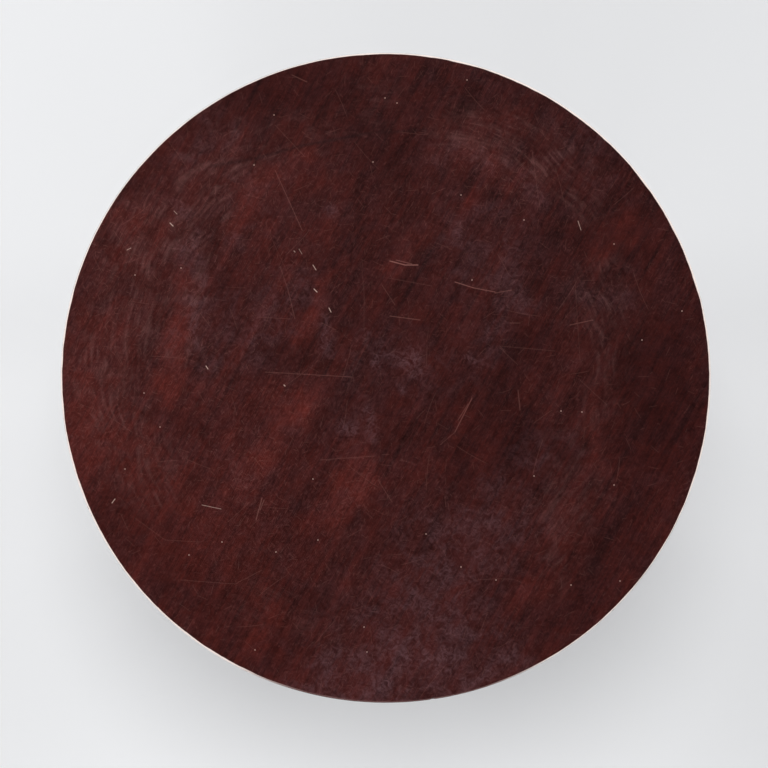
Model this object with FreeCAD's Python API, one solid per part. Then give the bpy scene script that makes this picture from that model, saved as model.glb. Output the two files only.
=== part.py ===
"""Round occasional table in dark lacquered wood, standing on five curved legs and a floor ring.

Lengths are in millimetres and angles in degrees. +Z is up, and the origin is on the floor under the
middle of the top. Each piece of wood is one solid in one file, named after the piece.
"""
import FreeCAD, Part
import math
import os

V = FreeCAD.Vector
UP = V(0, 0, 1)
CENTRE = V(0, 0, 0)

# The whole table
table_height = 500.0
top_diameter = 600.0
leg_count = 5
first_leg_angle = 90.0
cut_overrun = 5.0
glue_clearance = 0.2
blind_clearance = 1.0

# Boards of the top, glued edge to edge
board_count = 3
board_thickness = 20.0
grain_angle = 61.0
top_arris_radius = 2.0
rim_arc_count = 12

# Bamboo dowels across the seams between boards
dowel_diameter = 6.0
dowel_length = 44.0
dowel_spacing = 160.0
dowels_per_seam = 3

# Battens across the underside, in dovetail sockets
batten_spacing = 200.0
batten_width = 36.0
batten_depth = 24.0
batten_chamfer = 4.0
dovetail_neck = 26.0
dovetail_flare = 32.0
dovetail_depth = 7.0
batten_tenon_width = 22.0
batten_tenon_thickness = 9.0
batten_tenon_length = 9.0

# Lining felloes under the rim, which make the edge look thick
lining_thickness = 17.0
lining_arris_radius = 3.0
lining_lap = 46.0
lining_inner_margin = 8.0

# Bamboo pins from the linings up into the boards
rim_pin_diameter = 5.0
rim_pin_bite = 10.0
rim_pin_edge = 18.0
rim_pin_inset = 58.0
outer_pin_angle = 10.0
inner_pin_angle = 25.0

# Waist, the recessed band under the top
top_overhang = 60.0
waist_height = 24.0
waist_thickness = 14.0
waist_tongue = 6.0
waist_tongue_height = 3.0

# Bead between waist and apron
bead_height = 7.0
bead_projection = 12.0

# Apron between the legs
apron_depth = 36.0
apron_setback = 7.0
apron_bulge = 11.0
apron_low_bulge = 7.0
cusp_width = 64.0
cusp_height = 10.0
cove_width = 31.0
cove_depth = 24.0
cove_landing = 30.0

# Pegs that hold an apron end to a leg post
apron_peg_diameter = 5.0
apron_peg_bite = 12.0
apron_peg_drop = 12.0

# Legs
post_depth = 28.0
post_width = 40.0
tongue_width = 14.0
shoulder_width = 62.0
calf_width = 33.0
ankle_width = 27.0
foot_width = 34.0
ankle_inset = 23.0
ankle_thickness = 21.0
heel_depth = 18.0
toe_radius = 13.0
toe_width = 38.0
toe_lift = 1.0
leg_tenon_length = 12.0
top_tenon_thickness = 14.0
top_tenon_width = 26.0
foot_tenon_thickness = 11.0
foot_tenon_width = 18.0

# Floor ring
floor_ring_diameter = 400.0
floor_ring_width = 36.0
floor_ring_height = 22.0
floor_ring_upper_radius = 7.0
floor_ring_lower_radius = 4.0
floor_ring_inner_radius = 2.0
floor_ring_lap = 44.0
key_width = 9.0

# Pads under the floor ring
pad_height = 12.0
pad_length = 72.0
pad_taper = 9.0
pad_setback = 3.0
pad_peg_diameter = 10.0
pad_peg_length = 6.0

# Curve of a leg seen from the side: share of the blade's height, then share of the way from ankle to knee
front_curve_shares = ((0.84, 0.78), (0.675, 0.47), (0.51, 0.195), (0.375, 0.04), (0.27, 0.0), (0.17, 0.06))
back_curve_shares = ((1.03, 1.14), (0.92, 1.22), (0.82, 1.08), (0.675, 0.77), (0.51, 0.34), (0.375, 0.08),
                     (0.27, 0.0), (0.14, 0.08))
# Heights of a leg's narrow ankle and of its calf, as shares of the blade's height
ankle_height_share = 0.27
calf_height_share = 0.80
# Slope of the curve that runs from a leg's side into the apron's lower edge
arch_slope_share = 0.9

# Heights, from the floor up
ring_bottom = pad_height
ring_top = ring_bottom + floor_ring_height
board_bottom = table_height - board_thickness
lining_bottom = board_bottom - lining_thickness
waist_bottom = lining_bottom - waist_height
bead_bottom = waist_bottom - bead_height
arch_height = bead_bottom - apron_depth
shoulder_height = arch_height - cove_depth
blade_height = shoulder_height - ring_top

# Radii, from the rim inwards
rim_radius = top_diameter / 2
waist_radius = rim_radius - top_overhang
post_outer = waist_radius - waist_thickness
post_inner = post_outer - post_depth
lining_inner = post_inner - lining_inner_margin
bead_radius = waist_radius + bead_projection
apron_top_radius = waist_radius + apron_setback
apron_bulge_radius = apron_top_radius + apron_bulge
apron_low_radius = apron_top_radius + apron_low_bulge
knee_radius = apron_low_radius
ring_outer = floor_ring_diameter / 2
ring_inner = ring_outer - floor_ring_width
ring_middle = (ring_outer + ring_inner) / 2
ankle_front = ring_outer - ankle_inset
ankle_back = ankle_front - ankle_thickness
heel_radius = ring_outer - toe_radius - heel_depth
waist_tongue_inner = post_outer + (waist_thickness - waist_tongue) / 2
waist_tongue_outer = waist_tongue_inner + waist_tongue
pitch = 360.0 / leg_count


def leg_angle(number):
    """Direction of leg 0, 1, 2... seen from above."""
    return first_leg_angle + number * pitch


def bay_angle(number):
    """Direction of the middle of the bay after that leg."""
    return leg_angle(number) + pitch / 2


def turned(shape, angle):
    """A copy of a shape, turned about the table's axis."""
    copy = shape.copy()
    copy.rotate(CENTRE, UP, angle)
    return copy


def line(start, end):
    return Part.LineSegment(start, end).toShape()


def arc(start, middle, end):
    return Part.Arc(start, middle, end).toShape()


def spline(points, first_direction, last_direction):
    """A smooth curve through points, with its direction given at both ends."""
    curve = Part.BSplineCurve()
    curve.interpolate(Points=points, InitialTangent=first_direction, FinalTangent=last_direction)
    return curve.toShape()


def corner(centre, radius, first, last):
    """A rounded corner in the radius-height plane, between two directions in degrees."""
    def at(angle):
        turn = math.radians(angle)
        return centre + V(radius * math.cos(turn), 0, radius * math.sin(turn))
    return arc(at(first), at((first + last) / 2), at(last))


def face(edges):
    return Part.Face(Part.Wire(edges))


def sweep(section, low_angle, high_angle):
    """A radius-height section carried round the table's axis."""
    return turned(section, low_angle).revolve(CENTRE, UP, high_angle - low_angle)


def band(inner, outer, bottom, top, low_angle, high_angle):
    """A plain curved bar between two radii and two heights."""
    points = [V(inner, 0, bottom), V(outer, 0, bottom), V(outer, 0, top), V(inner, 0, top)]
    return sweep(Part.Face(Part.makePolygon(points + points[:1])), low_angle, high_angle)


def plank(low, high):
    """A box between two corners."""
    return Part.makeBox(high.x - low.x, high.y - low.y, high.z - low.z, low)


def pin(diameter, start, end):
    """A round pin between two points."""
    return Part.makeCylinder(diameter / 2, (end - start).Length, start, end - start)


def outward(outline, inner, outer):
    """An outline in the plane of a leg's front, carried outwards between two radii."""
    moved = outline.copy()
    moved.translate(V(inner, 0, 0))
    return moved.extrude(V(outer - inner, 0, 0))


def mirrored(shape):
    """The other side of a shape that lies on one side of a leg or a bay."""
    return shape.mirror(CENTRE, V(0, 1, 0))


def group(solids):
    """Several separate solids kept in one file."""
    return Part.makeCompound(solids)


def in_bay(shape):
    """The copies of a leg's shape at both ends of the bay whose middle lies along +X."""
    return [turned(shape, -pitch / 2), turned(shape, pitch / 2)]


def half_lap(whole, inner, outer, bottom, top, lap):
    """Cuts the ends of a curved bar so that each one laps over half of its neighbour."""
    middle = (bottom + top) / 2
    reach = lap_angle(inner, outer, lap)
    low = band(inner - cut_overrun, outer + cut_overrun, middle, top + cut_overrun,
               -pitch / 2 - 2 * reach, -pitch / 2 + reach)
    high = band(inner - cut_overrun, outer + cut_overrun, bottom - cut_overrun, middle,
                pitch / 2 - reach, pitch / 2 + 2 * reach)
    return whole.cut([low, high])


def lap_angle(inner, outer, lap):
    """Half of the angle that a lap of that length takes up."""
    return math.degrees(lap / (inner + outer))


def dowel_row():
    """The dowels across one seam, which lies along X, with its middle at the origin."""
    height = board_bottom + board_thickness / 2
    row = []
    for number in range(dowels_per_seam):
        along = (number - (dowels_per_seam - 1) / 2) * dowel_spacing
        start = V(along, -dowel_length / 2, height)
        row.append(pin(dowel_diameter, start, start + V(0, dowel_length, 0)))
    return row


def board_dowels():
    """All dowels in place, turned to the grain."""
    width = top_diameter / board_count
    dowels = []
    for seam in range(1, board_count):
        offset = seam * width - rim_radius
        for dowel in dowel_row():
            dowel.translate(V(0, offset, 0))
            dowels.append(turned(dowel, grain_angle))
    return dowels


def batten(side):
    """A batten across the grain, on one side of the middle: side is -1 or 1."""
    under, top = board_bottom - batten_depth, board_bottom + dovetail_depth
    half = [V(batten_width / 2 - batten_chamfer, 0, under), V(batten_width / 2, 0, under + batten_chamfer),
            V(batten_width / 2, 0, board_bottom), V(dovetail_neck / 2, 0, board_bottom),
            V(dovetail_flare / 2, 0, top)]
    outline = half + [V(-point.x, 0, point.z) for point in reversed(half)]
    section = Part.Face(Part.makePolygon(outline + outline[:1]))
    section.translate(V(0, -rim_radius, 0))
    body = section.extrude(V(0, top_diameter, 0))
    low = lining_bottom + (lining_thickness - batten_tenon_thickness) / 2
    tenon = plank(V(-batten_tenon_width / 2, -rim_radius, low),
                  V(batten_tenon_width / 2, rim_radius, low + batten_tenon_thickness))
    place = V(side * batten_spacing / 2, 0, 0)
    body.translate(place)
    tenon.translate(place)
    body = body.common(Part.makeCylinder(lining_inner - glue_clearance, table_height))
    tenon = tenon.common(Part.makeCylinder(lining_inner + batten_tenon_length, table_height))
    return turned(body.fuse(tenon).removeSplitter(), grain_angle)


def rim_pins():
    """The pins that hold the linings to the boards, between the laps and through them."""
    outer, inner = rim_radius - rim_pin_edge, rim_radius - rim_pin_inset
    places = [(outer, -outer_pin_angle), (outer, outer_pin_angle), (inner, -inner_pin_angle),
              (inner, inner_pin_angle), (outer, pitch / 2), (inner, pitch / 2)]
    pins = []
    for number in range(leg_count):
        for radius, angle in places:
            foot = V(radius, 0, lining_bottom)
            peg = pin(rim_pin_diameter, foot, foot + V(0, 0, lining_thickness + rim_pin_bite))
            pins.append(turned(peg, leg_angle(number) + angle))
    return pins


def top_disc():
    """The whole top before it is parted into boards, with a softened upper edge, turned in short arcs."""
    low, high = board_bottom, table_height
    inset = rim_radius - top_arris_radius
    section = face([line(V(0, 0, low), V(rim_radius, 0, low)),
                    line(V(rim_radius, 0, low), V(rim_radius, 0, high - top_arris_radius)),
                    corner(V(inset, 0, high - top_arris_radius), top_arris_radius, 0, 90),
                    line(V(inset, 0, high), V(0, 0, high)),
                    line(V(0, 0, high), V(0, 0, low))])
    turn = 360.0 / rim_arc_count
    arcs = [sweep(section, number * turn, (number + 1) * turn) for number in range(rim_arc_count)]
    return arcs[0].fuse(arcs[1:])


def top_board(number, disc, joinery):
    """One board of the top, with the sockets and holes of its joinery."""
    width = top_diameter / board_count
    left = number * width - rim_radius
    over_left = cut_overrun if number == 0 else 0
    over_right = cut_overrun if number == board_count - 1 else 0
    strip = plank(V(-top_diameter, left - over_left, board_bottom - cut_overrun),
                  V(top_diameter, left + width + over_right, table_height + cut_overrun))
    return disc.common(turned(strip, grain_angle)).cut(joinery)


def lining_segment(number, battens, pins):
    """One felloe under the rim, centred on a leg and half-lapped to its neighbours."""
    low, high = lining_bottom, board_bottom
    inset = rim_radius - lining_arris_radius
    section = face([line(V(lining_inner, 0, low), V(inset, 0, low)),
                    corner(V(inset, 0, low + lining_arris_radius), lining_arris_radius, -90, 0),
                    line(V(rim_radius, 0, low + lining_arris_radius), V(rim_radius, 0, high)),
                    line(V(rim_radius, 0, high), V(lining_inner, 0, high)),
                    line(V(lining_inner, 0, high), V(lining_inner, 0, low))])
    half = pitch / 2 + lap_angle(lining_inner, rim_radius, lining_lap)
    segment = half_lap(sweep(section, -half, half), lining_inner, rim_radius, low, high, lining_lap)
    groove = band(waist_tongue_inner, waist_tongue_outer, low - cut_overrun, low + waist_tongue_height,
                  -pitch, pitch)
    segment = segment.cut([groove, top_mortise()])
    return turned(segment, leg_angle(number)).cut(battens + pins)


def top_tenon():
    """The tenon on top of a leg post, for a leg along +X."""
    middle = V((post_inner + post_outer) / 2, 0, lining_bottom)
    half = V(top_tenon_thickness / 2, top_tenon_width / 2, 0)
    return plank(middle - half, middle + half + V(0, 0, leg_tenon_length))


def top_mortise():
    """The hole for that tenon in a lining, with room for glue."""
    middle = V((post_inner + post_outer) / 2, 0, lining_bottom)
    half = V(top_tenon_thickness / 2 + glue_clearance, top_tenon_width / 2 + glue_clearance, 0)
    depth = leg_tenon_length + blind_clearance
    return plank(middle - half - V(0, 0, cut_overrun), middle + half + V(0, 0, depth))


def foot_tenon():
    """The tenon under a leg, for a leg along +X."""
    middle = V((heel_radius + ring_outer - toe_radius) / 2, 0, ring_top)
    half = V(foot_tenon_thickness / 2, foot_tenon_width / 2, 0)
    return plank(middle - half - V(0, 0, leg_tenon_length), middle + half)


def foot_mortise():
    """The hole for that tenon in the floor ring, with room for glue."""
    middle = V((heel_radius + ring_outer - toe_radius) / 2, 0, ring_top)
    half = V(foot_tenon_thickness / 2 + glue_clearance, foot_tenon_width / 2 + glue_clearance, 0)
    depth = leg_tenon_length + blind_clearance
    return plank(middle - half - V(0, 0, depth), middle + half + V(0, 0, cut_overrun))


def waist_segment(number):
    """One length of the waist, with a tongue along its upper and its lower edge."""
    board = band(post_outer, waist_radius, waist_bottom, lining_bottom, -pitch / 2, pitch / 2)
    tongue = band(waist_tongue_inner, waist_tongue_outer, waist_bottom - waist_tongue_height,
                  lining_bottom + waist_tongue_height, -pitch / 2, pitch / 2)
    return turned(board.fuse(tongue).removeSplitter(), bay_angle(number))


def bead_segment(number):
    """One length of the round-nosed bead, grooved for the waist."""
    nose = bead_height / 2
    section = face([line(V(post_outer, 0, bead_bottom), V(bead_radius - nose, 0, bead_bottom)),
                    corner(V(bead_radius - nose, 0, bead_bottom + nose), nose, -90, 90),
                    line(V(bead_radius - nose, 0, waist_bottom), V(post_outer, 0, waist_bottom)),
                    line(V(post_outer, 0, waist_bottom), V(post_outer, 0, bead_bottom))])
    groove = band(waist_tongue_inner, waist_tongue_outer, waist_bottom - waist_tongue_height,
                  waist_bottom + cut_overrun, -pitch, pitch)
    return turned(sweep(section, -pitch / 2, pitch / 2).cut(groove), bay_angle(number))


def bulge():
    """The outer line of apron and leg shoulder, from the bead down to the foot of the shoulder."""
    return Part.Arc(V(apron_top_radius, 0, bead_bottom),
                    V(apron_bulge_radius, 0, (bead_bottom + shoulder_height) / 2),
                    V(apron_low_radius, 0, shoulder_height))


def shoulder_slot():
    """The slanted space that a leg's shoulder takes up between two aprons."""
    wide, narrow = shoulder_width / 2, tongue_width / 2
    half = [V(0, wide, shoulder_height - cut_overrun), V(0, wide, shoulder_height),
            V(0, narrow, bead_bottom), V(0, narrow, bead_bottom + cut_overrun)]
    other = [V(0, -point.y, point.z) for point in reversed(half)]
    outline = Part.Face(Part.makePolygon(half + other + half[:1]))
    return outward(outline, post_inner, rim_radius)


def arch_direction():
    """Direction of a leg's side where it meets the apron."""
    return V(0, arch_slope_share, 1)


def cove_cut():
    """The space below the curve that leads from a leg's side into the apron's lower edge."""
    side = shoulder_width / 2
    under = shoulder_height - cut_overrun
    start, end = V(0, side, shoulder_height), V(0, side + cove_width, arch_height)
    landing = V(0, end.y + cove_landing, arch_height)
    outline = face([spline([start, end], arch_direction(), V(0, 1, 0)),
                    line(end, landing),
                    line(landing, V(0, landing.y, under)),
                    line(V(0, landing.y, under), V(0, side, under)),
                    line(V(0, side, under), start)])
    return outward(outline, post_inner, rim_radius)


def cusp_cut():
    """The pointed rise at the middle of an apron's lower edge."""
    half, under = cusp_width / 2, arch_height - cut_overrun
    tip = V(0, 0, arch_height + cusp_height)
    left, right = V(0, -half, arch_height), V(0, half, arch_height)
    outline = face([spline([left, tip], V(0, 1, 0), V(0, 1, 1)),
                    spline([tip, right], V(0, 1, -1), V(0, 1, 0)),
                    line(right, V(0, half, under)),
                    line(V(0, half, under), V(0, -half, under)),
                    line(V(0, -half, under), left)])
    return outward(outline, post_inner, rim_radius)


def apron_pegs_at_leg():
    """The two pegs from the back of a leg post into the aprons beside it, for a leg along +X."""
    height = bead_bottom - apron_peg_drop
    slant = (shoulder_width - tongue_width) / 2 * apron_peg_drop / (bead_bottom - shoulder_height)
    side = (tongue_width / 2 + slant + post_width / 2) / 2
    pegs = []
    for way in (-1, 1):
        start = V(post_inner + glue_clearance, way * side, height)
        pegs.append(pin(apron_peg_diameter, start, V(post_outer + apron_peg_bite, way * side, height)))
    return pegs


def apron(number):
    """One bulging, arched apron, cut at both ends to the legs' slanted shoulders."""
    curve = bulge()
    section = face([line(V(post_outer, 0, bead_bottom), curve.StartPoint), curve.toShape(),
                    line(curve.EndPoint, V(post_outer, 0, shoulder_height)),
                    line(V(post_outer, 0, shoulder_height), V(post_outer, 0, bead_bottom))])
    whole = sweep(section, -pitch / 2, pitch / 2)
    landing = shoulder_width / 2 + cove_width + cove_landing / 2
    clear = pitch / 2 - math.degrees(math.asin(landing / apron_bulge_radius))
    span = band(post_inner, rim_radius, shoulder_height - cut_overrun, arch_height, -clear, clear)
    cutters = [span, cusp_cut()]
    for shape in [shoulder_slot(), cove_cut(), mirrored(cove_cut())] + apron_pegs_at_leg():
        cutters += in_bay(shape)
    return turned(whole.cut(cutters), bay_angle(number))


def leg_curve(shares, ankle, knee):
    """The points of a leg's front or back line, from the knee down."""
    swing = knee - ankle
    return [V(ankle + reach * swing, 0, ring_top + height * blade_height) for height, reach in shares]


def leg_side_outline():
    """A leg's outline seen from the side, in the radius-height plane."""
    curve = bulge()
    knee = curve.EndPoint
    knee_direction = curve.tangent(curve.LastParameter)[0]
    toe_top = V(ring_outer - toe_radius, 0, ring_top + toe_lift + toe_radius + toe_radius / 2)
    sole_front = V(ring_outer - toe_radius, 0, ring_top)
    heel = V(heel_radius, 0, ring_top)
    front = [knee] + leg_curve(front_curve_shares, ankle_front, knee_radius) + [toe_top]
    back = [V(post_inner, 0, bead_bottom)] + leg_curve(back_curve_shares, ankle_back, post_inner) + [heel]
    return face([curve.toShape(),
                 spline(front, knee_direction, V(1, 0, -1)),
                 line(toe_top, sole_front),
                 line(sole_front, heel),
                 spline(back[::-1], V(-1, 0, 2), V(0, 0, 1)),
                 line(back[0], curve.StartPoint)])


def leg_front_outline():
    """A leg's outline seen from the front: narrow at the ankle, flaring into the shoulder."""
    side = [V(0, foot_width / 2, ring_top),
            V(0, ankle_width / 2, ring_top + ankle_height_share * blade_height),
            V(0, calf_width / 2, ring_top + calf_height_share * blade_height),
            V(0, shoulder_width / 2, shoulder_height)]
    curve = spline(side, V(0, 0, 1), arch_direction())
    tip = V(0, tongue_width / 2, bead_bottom)
    slant = line(side[-1], tip)
    return face([line(V(0, -side[0].y, ring_top), side[0]), curve, slant,
                 line(tip, V(0, -tip.y, tip.z)), mirrored(slant), mirrored(curve)])


def leg(number):
    """One curved leg with its shoulder, post, scrolled toe and two tenons."""
    spread = math.degrees(math.asin(shoulder_width / ankle_back))
    blade = sweep(leg_side_outline(), -spread, spread).common(outward(leg_front_outline(), 0, rim_radius))
    toe_centre = V(ring_outer - toe_radius, 0, ring_top + toe_lift + toe_radius)
    toe = pin(2 * toe_radius, toe_centre - V(0, toe_width / 2, 0), toe_centre + V(0, toe_width / 2, 0))
    side = V(0, post_width / 2, 0)
    post = band(post_inner, post_outer, shoulder_height, lining_bottom, -spread, spread)
    post = post.common(plank(V(0, 0, 0) - side, V(rim_radius, 0, table_height) + side))
    whole = blade.fuse([toe, post, top_tenon(), foot_tenon()]).removeSplitter()
    return turned(whole.cut(apron_pegs_at_leg()), leg_angle(number))


def floor_ring_keys():
    """The square keys that lock the laps of the floor ring, from top to bottom."""
    half = key_width / 2
    keys = []
    for number in range(leg_count):
        key = plank(V(ring_middle - half, -half, ring_bottom), V(ring_middle + half, half, ring_top))
        keys.append(turned(key, bay_angle(number)))
    return keys


def floor_ring_segment(number, keys):
    """One segment of the floor ring, centred under a leg."""
    low, high = ring_bottom, ring_top
    upper, lower, inner = floor_ring_upper_radius, floor_ring_lower_radius, floor_ring_inner_radius
    section = face([line(V(ring_inner, 0, low), V(ring_outer - lower, 0, low)),
                    corner(V(ring_outer - lower, 0, low + lower), lower, -90, 0),
                    line(V(ring_outer, 0, low + lower), V(ring_outer, 0, high - upper)),
                    corner(V(ring_outer - upper, 0, high - upper), upper, 0, 90),
                    line(V(ring_outer - upper, 0, high), V(ring_inner + inner, 0, high)),
                    corner(V(ring_inner + inner, 0, high - inner), inner, 90, 180),
                    line(V(ring_inner, 0, high - inner), V(ring_inner, 0, low))])
    half = pitch / 2 + lap_angle(ring_inner, ring_outer, floor_ring_lap)
    segment = half_lap(sweep(section, -half, half), ring_inner, ring_outer, low, high, floor_ring_lap)
    segment = segment.cut([foot_mortise(), pad_peg_hole()])
    return turned(segment, leg_angle(number)).cut(keys)


def pad_peg():
    """The round peg on top of a pad, for a pad along +X."""
    foot = V(ring_middle, 0, ring_bottom)
    return pin(pad_peg_diameter, foot, foot + V(0, 0, pad_peg_length))


def pad_peg_hole():
    """The hole for that peg in the floor ring, with room for glue."""
    return pin(pad_peg_diameter + 2 * glue_clearance, V(ring_middle, 0, ring_bottom - cut_overrun),
               V(ring_middle, 0, ring_bottom + pad_peg_length + blind_clearance))


def foot_pad(number):
    """One low pad under the floor ring, hollowed at both ends, with a peg into the ring."""
    long, short = pad_length / 2, pad_length / 2 - pad_taper
    end = spline([V(0, short, 0), V(0, long, pad_height)], V(0, 0, pad_height), V(0, pad_taper, 0))
    outline = face([line(V(0, -short, 0), V(0, short, 0)), end,
                    line(V(0, long, pad_height), V(0, -long, pad_height)), mirrored(end)])
    bar = band(ring_inner + pad_setback, ring_outer - pad_setback, 0, ring_bottom, -pitch / 2, pitch / 2)
    pad = bar.common(outward(outline, 0, ring_outer + cut_overrun)).fuse(pad_peg())
    return turned(pad.removeSplitter(), leg_angle(number))


def make_parts():
    """Every piece of the table, by name."""
    dowels, pins, keys = board_dowels(), rim_pins(), floor_ring_keys()
    battens = [batten(-1), batten(1)]
    parts = {"board_dowels": group(dowels), "rim_pins": group(pins), "floor_ring_keys": group(keys),
             "batten_front": battens[0], "batten_back": battens[1]}
    disc = top_disc()
    for number, side in enumerate(("right", "middle", "left")):
        parts["top_board_" + side] = top_board(number, disc, dowels + battens + pins)
    pegs = []
    for number in range(leg_count):
        name = "_" + str(number + 1)
        parts["rim_lining" + name] = lining_segment(number, battens, pins)
        parts["waist" + name] = waist_segment(number)
        parts["bead" + name] = bead_segment(number)
        parts["apron" + name] = apron(number)
        parts["leg" + name] = leg(number)
        parts["floor_ring" + name] = floor_ring_segment(number, keys)
        parts["foot_pad" + name] = foot_pad(number)
        pegs += [turned(peg, leg_angle(number)) for peg in apron_pegs_at_leg()]
    parts["apron_pegs"] = group(pegs)
    return parts


os.makedirs("parts", exist_ok=True)
for name, shape in sorted(make_parts().items()):
    shape.exportStep("parts/" + name + ".step")
    print(name, "solids", len(shape.Solids), "volume", round(shape.Volume), "valid", shape.isValid())
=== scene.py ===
# %% [markdown]
# # A round lacquered table
# The table has a plain round top under dark red-brown lacquer, and a base of five curved legs on a
# floor ring. The solids come in with every piece at its real size and place. This file gives them
# their finish: old brushed lacquer, worn edges, and the light and camera of a studio picture that
# looks straight at the top.

# %% Bring in the solid table
import bpy, bmesh, math, mathutils.noise
import numpy as np
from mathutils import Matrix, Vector
from mathutils.bvhtree import BVHTree


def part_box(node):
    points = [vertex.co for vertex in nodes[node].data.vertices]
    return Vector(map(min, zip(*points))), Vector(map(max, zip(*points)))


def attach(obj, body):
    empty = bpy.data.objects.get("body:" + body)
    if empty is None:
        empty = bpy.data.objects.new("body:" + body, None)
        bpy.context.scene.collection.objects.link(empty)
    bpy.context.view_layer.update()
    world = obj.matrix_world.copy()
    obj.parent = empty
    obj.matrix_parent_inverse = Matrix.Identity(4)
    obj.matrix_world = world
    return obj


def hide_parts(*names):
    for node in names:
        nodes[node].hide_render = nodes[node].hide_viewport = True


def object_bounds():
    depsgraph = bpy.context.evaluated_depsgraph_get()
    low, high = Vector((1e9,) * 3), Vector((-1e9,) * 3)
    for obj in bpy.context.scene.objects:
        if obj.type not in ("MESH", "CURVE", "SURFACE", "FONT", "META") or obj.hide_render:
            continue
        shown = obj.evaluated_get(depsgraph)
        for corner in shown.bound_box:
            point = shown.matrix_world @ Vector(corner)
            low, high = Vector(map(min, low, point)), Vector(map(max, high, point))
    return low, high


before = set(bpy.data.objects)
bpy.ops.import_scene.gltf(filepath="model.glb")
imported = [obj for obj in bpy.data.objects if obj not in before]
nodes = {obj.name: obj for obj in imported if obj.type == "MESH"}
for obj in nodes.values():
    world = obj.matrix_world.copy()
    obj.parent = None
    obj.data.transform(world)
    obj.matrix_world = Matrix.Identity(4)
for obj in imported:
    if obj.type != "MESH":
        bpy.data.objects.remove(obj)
cad_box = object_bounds()
top_radius = (cad_box[1].x - cad_box[0].x) / 2
top_height = cad_box[1].z
legs = range(1, 6)
mm = 0.001
print("top radius", round(top_radius, 4), "height", round(top_height, 4), "pieces", len(nodes))

# %% [markdown]
# ## The camera
# The picture looks square on at the top, so the camera hangs straight above the table, with a long
# lens that keeps the base hidden behind the top. Its distance follows from how wide the top is in
# the picture. The top sits a few pixels off the middle there, so the camera stands that much aside.

# %% Hang the camera
picture_side_px = 768
disc_centre_px = (385.8, 377.8)
disc_radius_px = 325.2
lens_mm = 135.0
sensor_mm = 36.0
px = top_radius / disc_radius_px


def from_picture(spot_px):
    """The place on the table's top, in metres, that a pixel of the picture shows."""
    return Vector(((spot_px[0] - disc_centre_px[0]) * px, (disc_centre_px[1] - spot_px[1]) * px, 0))


def put(name, data):
    """Puts an object into the scene."""
    made = bpy.data.objects.new(name, data)
    bpy.context.scene.collection.objects.link(made)
    return made


camera_data = bpy.data.cameras.new("camera")
camera_data.lens = lens_mm
camera_data.sensor_width = sensor_mm
camera = put("camera", camera_data)
bpy.context.scene.camera = camera
middle_px = (picture_side_px / 2, picture_side_px / 2)
distance = px * picture_side_px * lens_mm / sensor_mm
camera.location = from_picture(middle_px) + Vector((0, 0, top_height + distance))
print("camera distance", round(distance, 3), "m, one pixel is", round(px / mm, 3), "mm")

# %% [markdown]
# ## Wires
# A material is a tree of nodes. Written out in full, each node takes many lines. Here the output of
# a node is wrapped as a wire, and a plain sum on wires adds the node that works it out, for numbers
# and for places alike. `add` makes any other node, beside the wires that feed it, and gives back the
# wire that comes out of it.

# %% Wires and nodes
class Wire:
    """The output of a shader node. Sums on it add nodes to its tree."""

    def __init__(self, socket):
        self.socket = socket
        self.tree = socket.id_data

    def worked(self, operation, *others):
        """One sum on this wire and others: on numbers, or on vectors if this wire carries one."""
        on_numbers = self.socket.type == "VALUE"
        made = self.tree.nodes.new("ShaderNodeMath" if on_numbers else "ShaderNodeVectorMath")
        made.operation = operation
        for socket, value in zip(made.inputs, (self, *others)):
            feed(socket, value)
        gives_number = on_numbers or operation in ("LENGTH", "DOT_PRODUCT", "DISTANCE")
        return Wire(made.outputs["Value" if gives_number else "Vector"])

    def __add__(self, other):
        return self.worked("ADD", other)

    def __sub__(self, other):
        return self.worked("SUBTRACT", other)

    def __mul__(self, other):
        return self.worked("MULTIPLY", other)

    def __truediv__(self, other):
        return self.worked("DIVIDE", other)

    def scaled(self, size):
        """This vector, made longer or shorter by one number."""
        return add("ShaderNodeVectorMath", {0: self, "Scale": size}, operation="SCALE")

    def beside(self, name):
        """Another output of the same node."""
        return Wire(self.socket.node.outputs[name])


def feed(socket, value):
    """Joins a socket to a wire, or gives it a plain value."""
    if isinstance(value, Wire):
        value.tree.links.new(value.socket, socket)
    else:
        socket.default_value = value


def add(kind, inputs, output=0, tree=None, **settings):
    """Adds a node, sets it up, feeds its inputs and gives one of its outputs."""
    tree = tree or next(value.tree for value in inputs.values() if isinstance(value, Wire))
    made = tree.nodes.new(kind)
    for name, value in settings.items():
        setattr(made, name, value)
    for name, value in inputs.items():
        feed(made.inputs[name], value)
    return Wire(made.outputs[output])


# %% The kinds of node that are needed most
def swing(value, reach):
    """Turns a value that runs from 0 to 1 into one that runs from minus half the reach to plus half."""
    return value.worked("MULTIPLY_ADD", reach, -reach / 2)


def strongest_of(mask, *others):
    """The largest of several masks, at each place."""
    for other in others:
        mask = mask.worked("MAXIMUM", other)
    return mask


def clamped(value):
    return add("ShaderNodeClamp", {"Value": value})


def joined(x=0.0, y=0.0, z=0.0):
    return add("ShaderNodeCombineXYZ", {"X": x, "Y": y, "Z": z})


def split(vector):
    """The X, Y and Z of a vector."""
    x = add("ShaderNodeSeparateXYZ", {"Vector": vector})
    return x, x.beside("Y"), x.beside("Z")


def spun(place, angle):
    """A place turned about the upright axis."""
    return add("ShaderNodeVectorRotate", {"Vector": place, "Angle": angle}, rotation_type="Z_AXIS")


def fade(value, start, end, low=0.0, high=1.0):
    """Goes smoothly from low at start to high at end."""
    inputs = {"Value": value, "From Min": start, "From Max": end, "To Min": low, "To Max": high}
    return add("ShaderNodeMapRange", inputs, interpolation_type="SMOOTHSTEP")


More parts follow.
